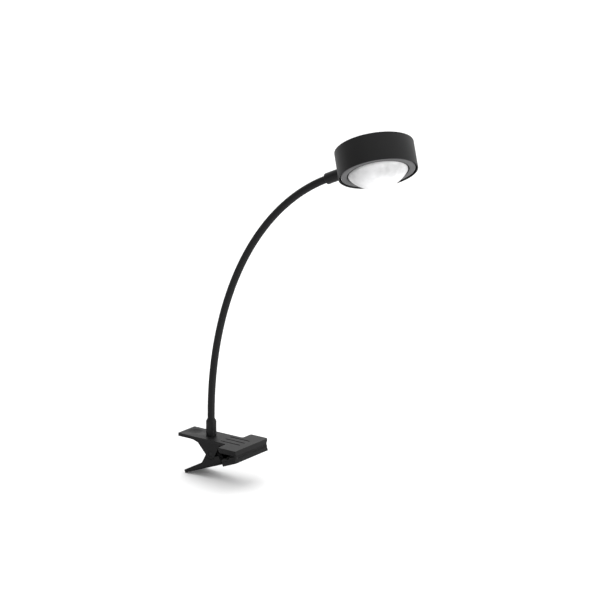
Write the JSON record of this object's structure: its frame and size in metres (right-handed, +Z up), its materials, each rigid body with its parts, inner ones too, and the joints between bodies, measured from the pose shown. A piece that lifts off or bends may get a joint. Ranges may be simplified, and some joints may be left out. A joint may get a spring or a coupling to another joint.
{
  "type": "clip-on reading lamp",
  "caption": "Spring clip with a bendable neck that carries a short round lamp head with a domed frosted lens, for clamping to a shelf, headboard or desk edge.",
  "frame": {"origin": "middle of the rear land of the upper jaw pad's underside, where the clip rests on what it grips", "axes": "+Z up, square to the clip's flat top and opposite to the pad's outward normal; +X from the finger levers to the jaws; the clip is symmetric about Y = 0 and the neck leans towards +Y"},
  "size_m": [0.2578, 0.0989, 0.3804],
  "materials": {
    "clip_plastic": "fine matte moulded black",
    "pad_rubber": "black rubber",
    "neck_sleeve": "smooth black silicone sleeve",
    "black_paint": "black satin paint on turned steel",
    "head_plastic": "fine satin moulded black",
    "steel": "zinc-plated steel",
    "spring_steel": "drawn spring wire",
    "lead_sheath": "black two-core lead",
    "ring_grey": "satin grey",
    "lens_frosted": null,
    "reflector_white": "white reflector",
    "board_white": "white solder mask",
    "led_phosphor": "yellow phosphor",
    "aluminium": "bare cast aluminium"
  },
  "bodies": {
    "upper_clip": {"upper_jaw": "clip_plastic", "upper_jaw_pad": "pad_rubber", "pivot_pin": "black_paint", "pin_retainer": "spring_steel", "torsion_spring": "spring_steel", "base_ferrule": "black_paint", "ferrule_washer": "steel", "ferrule_nut": "steel", "cable_grommet": "pad_rubber", "neck_sleeve_1": "neck_sleeve", "neck_hose_1": "steel", "neck_lead_1": "lead_sheath"},
    "lower_clip": {"lower_jaw": "clip_plastic", "lower_jaw_pad": "pad_rubber"},
    "neck_2": {"neck_sleeve_2": "neck_sleeve", "neck_hose_2": "steel", "neck_lead_2": "lead_sheath"},
    "neck_3": {"neck_sleeve_3": "neck_sleeve", "neck_hose_3": "steel", "neck_lead_3": "lead_sheath"},
    "neck_4": {"neck_sleeve_4": "neck_sleeve", "neck_hose_4": "steel", "neck_lead_4": "lead_sheath"},
    "neck_5": {"neck_sleeve_5": "neck_sleeve", "neck_hose_5": "steel", "neck_lead_5": "lead_sheath"},
    "neck_6": {"neck_sleeve_6": "neck_sleeve", "neck_hose_6": "steel", "neck_lead_6": "lead_sheath"},
    "neck_7": {"neck_sleeve_7": "neck_sleeve", "neck_hose_7": "steel", "neck_lead_7": "lead_sheath"},
    "neck_8": {"neck_sleeve_8": "neck_sleeve", "neck_hose_8": "steel", "neck_lead_8": "lead_sheath"},
    "neck_9": {"neck_sleeve_9": "neck_sleeve", "neck_hose_9": "steel", "neck_lead_9": "lead_sheath", "head_collar": "black_paint", "friction_washer": "pad_rubber", "collar_nut": "steel"},
    "head": {"head_shell": "head_plastic", "front_ring": "ring_grey", "lens_gasket": "pad_rubber", "lens": "lens_frosted", "reflector": "reflector_white", "led_board": "board_white", "led_array": "led_phosphor", "heat_sink": "aluminium", "board_screw_1": "steel", "board_screw_2": "steel", "board_screw_3": "steel", "head_lead": "lead_sheath"}
  },
  "joints": [
    {"name": "clip_open", "type": "hinge", "parent": "upper_clip", "child": "lower_clip", "pos_m": [-0.0264, 0, -0.0088], "axis": [0, 1, 0], "range_deg": [0, 26], "stiffness_Nm_per_rad": 0.6, "springref_deg": -42.97, "deforming": ["torsion_spring"]},
    {"name": "neck_bend_1", "type": "hinge", "parent": "upper_clip", "child": "neck_2", "pos_m": [-0.03518, 0.00007, 0.04397], "axis": [-0.1642, 0.9864, 0], "range_deg": [-39, 30]},
    {"name": "neck_bend_2", "type": "hinge", "parent": "neck_2", "child": "neck_3", "pos_m": [-0.03174, 0.00064, 0.08277], "axis": [-0.9772, -0.1626, 0.1364], "range_deg": [-30, 30]},
    {"name": "neck_bend_3", "type": "hinge", "parent": "neck_3", "child": "neck_4", "pos_m": [-0.0247, 0.00181, 0.12106], "axis": [-0.1642, 0.9864, 0], "range_deg": [-41, 28]},
    {"name": "neck_bend_4", "type": "hinge", "parent": "neck_4", "child": "neck_5", "pos_m": [-0.01373, 0.00364, 0.15838], "axis": [-0.9265, -0.1542, 0.3432], "range_deg": [-30, 30]},
    {"name": "neck_bend_5", "type": "hinge", "parent": "neck_5", "child": "neck_6", "pos_m": [0.00161, 0.00619, 0.19407], "axis": [-0.1642, 0.9864, 0], "range_deg": [-43, 26]},
    {"name": "neck_bend_6", "type": "hinge", "parent": "neck_6", "child": "neck_7", "pos_m": [0.0218, 0.00955, 0.22717], "axis": [-0.7922, -0.1319, 0.5958], "range_deg": [-30, 30]},
    {"name": "neck_bend_7", "type": "hinge", "parent": "neck_7", "child": "neck_8", "pos_m": [0.04719, 0.01378, 0.25635], "axis": [-0.1642, 0.9864, 0], "range_deg": [-47, 23]},
    {"name": "neck_bend_8", "type": "hinge", "parent": "neck_8", "child": "neck_9", "pos_m": [0.0778, 0.01888, 0.27978], "axis": [-0.5239, -0.0872, 0.8473], "range_deg": [-30, 30]},
    {"name": "head_swivel", "type": "hinge", "parent": "neck_9", "child": "head", "pos_m": [0.14728, 0.03044, 0.31174], "axis": [0.9046, 0.1506, 0.3987], "range_deg": [-96, 144]}
  ]
}
